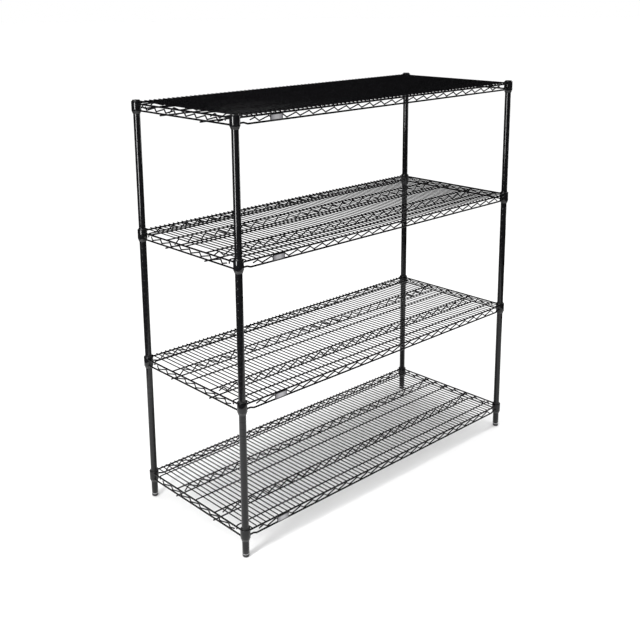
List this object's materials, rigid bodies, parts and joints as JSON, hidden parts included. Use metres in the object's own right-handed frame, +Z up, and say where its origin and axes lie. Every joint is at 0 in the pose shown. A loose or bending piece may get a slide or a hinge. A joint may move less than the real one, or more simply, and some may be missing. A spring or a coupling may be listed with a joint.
{
  "type": "wire shelving rack",
  "caption": "Tall open rack: grooved round posts carry level wire shelves with truss edges on tapered split sleeves, each post on a levelling foot and under a domed cap.",
  "frame": {"origin": "on the floor under the middle of the rack's footprint", "axes": "+X along the shelves towards the right end seen from the front, +Y from the front with the badges towards the rear, +Z up along the posts"},
  "size_m": [1.524, 0.6096, 1.5883],
  "materials": {
    "black_coat": "glossy black powder coat over steel wire and tube",
    "black_plastic": "smooth black moulded plastic",
    "zinc_ring": "bright zinc plated steel",
    "foot_black": "black painted turned steel",
    "badge_grey": "blank grey moulded plate"
  },
  "bodies": {
    "uprights": {"post_front_left": "black_coat", "post_cap_front_left": "black_plastic", "post_insert_front_left": "zinc_ring", "post_front_right": "black_coat", "post_cap_front_right": "black_plastic", "post_insert_front_right": "zinc_ring", "post_rear_left": "black_coat", "post_cap_rear_left": "black_plastic", "post_insert_rear_left": "zinc_ring", "post_rear_right": "black_coat", "post_cap_rear_right": "black_plastic", "post_insert_rear_right": "zinc_ring", "shelf_1_sleeve_front_half_front_left": "black_plastic", "shelf_1_sleeve_rear_half_front_left": "black_plastic", "shelf_1_sleeve_front_half_front_right": "black_plastic", "shelf_1_sleeve_rear_half_front_right": "black_plastic", "shelf_1_sleeve_front_half_rear_left": "black_plastic", "shelf_1_sleeve_rear_half_rear_left": "black_plastic", "shelf_1_sleeve_front_half_rear_right": "black_plastic", "shelf_1_sleeve_rear_half_rear_right": "black_plastic", "shelf_2_sleeve_front_half_front_left": "black_plastic", "shelf_2_sleeve_rear_half_front_left": "black_plastic", "shelf_2_sleeve_front_half_front_right": "black_plastic", "shelf_2_sleeve_rear_half_front_right": "black_plastic", "shelf_2_sleeve_front_half_rear_left": "black_plastic", "shelf_2_sleeve_rear_half_rear_left": "black_plastic", "shelf_2_sleeve_front_half_rear_right": "black_plastic", "shelf_2_sleeve_rear_half_rear_right": "black_plastic", "shelf_3_sleeve_front_half_front_left": "black_plastic", "shelf_3_sleeve_rear_half_front_left": "black_plastic", "shelf_3_sleeve_front_half_front_right": "black_plastic", "shelf_3_sleeve_rear_half_front_right": "black_plastic", "shelf_3_sleeve_front_half_rear_left": "black_plastic", "shelf_3_sleeve_rear_half_rear_left": "black_plastic", "shelf_3_sleeve_front_half_rear_right": "black_plastic", "shelf_3_sleeve_rear_half_rear_right": "black_plastic", "shelf_4_sleeve_front_half_front_left": "black_plastic", "shelf_4_sleeve_rear_half_front_left": "black_plastic", "shelf_4_sleeve_front_half_front_right": "black_plastic", "shelf_4_sleeve_rear_half_front_right": "black_plastic", "shelf_4_sleeve_front_half_rear_left": "black_plastic", "shelf_4_sleeve_rear_half_rear_left": "black_plastic", "shelf_4_sleeve_front_half_rear_right": "black_plastic", "shelf_4_sleeve_rear_half_rear_right": "black_plastic"},
    "shelf_1": {"shelf_1_frame": "black_coat", "shelf_1_deck": "black_coat", "shelf_1_badge": "badge_grey"},
    "shelf_2": {"shelf_2_frame": "black_coat", "shelf_2_deck": "black_coat", "shelf_2_badge": "badge_grey"},
    "shelf_3": {"shelf_3_frame": "black_coat", "shelf_3_deck": "black_coat", "shelf_3_badge": "badge_grey"},
    "shelf_4": {"shelf_4_frame": "black_coat", "shelf_4_deck": "black_coat", "shelf_4_badge": "badge_grey"},
    "foot_front_left": {"levelling_foot_front_left": "foot_black"},
    "foot_front_right": {"levelling_foot_front_right": "foot_black"},
    "foot_rear_left": {"levelling_foot_rear_left": "foot_black"},
    "foot_rear_right": {"levelling_foot_rear_right": "foot_black"}
  },
  "joints": [
    {"name": "shelf_1_lift", "type": "slide", "parent": "uprights", "child": "shelf_1", "axis": [0, 0, 1], "range_m": [0, 0.42]},
    {"name": "shelf_2_lift", "type": "slide", "parent": "uprights", "child": "shelf_2", "axis": [0, 0, 1], "range_m": [0, 0.44]},
    {"name": "shelf_3_lift", "type": "slide", "parent": "uprights", "child": "shelf_3", "axis": [0, 0, 1], "range_m": [0, 0.42]},
    {"name": "shelf_4_lift", "type": "slide", "parent": "uprights", "child": "shelf_4", "axis": [0, 0, 1], "range_m": [0, 0.15]},
    {"name": "foot_front_left_level", "type": "slide", "parent": "uprights", "child": "foot_front_left", "axis": [0, 0, -1], "range_m": [0, 0.016]},
    {"name": "foot_front_right_level", "type": "slide", "parent": "uprights", "child": "foot_front_right", "axis": [0, 0, -1], "range_m": [0, 0.016]},
    {"name": "foot_rear_left_level", "type": "slide", "parent": "uprights", "child": "foot_rear_left", "axis": [0, 0, -1], "range_m": [0, 0.016]},
    {"name": "foot_rear_right_level", "type": "slide", "parent": "uprights", "child": "foot_rear_right", "axis": [0, 0, -1], "range_m": [0, 0.016]}
  ]
}
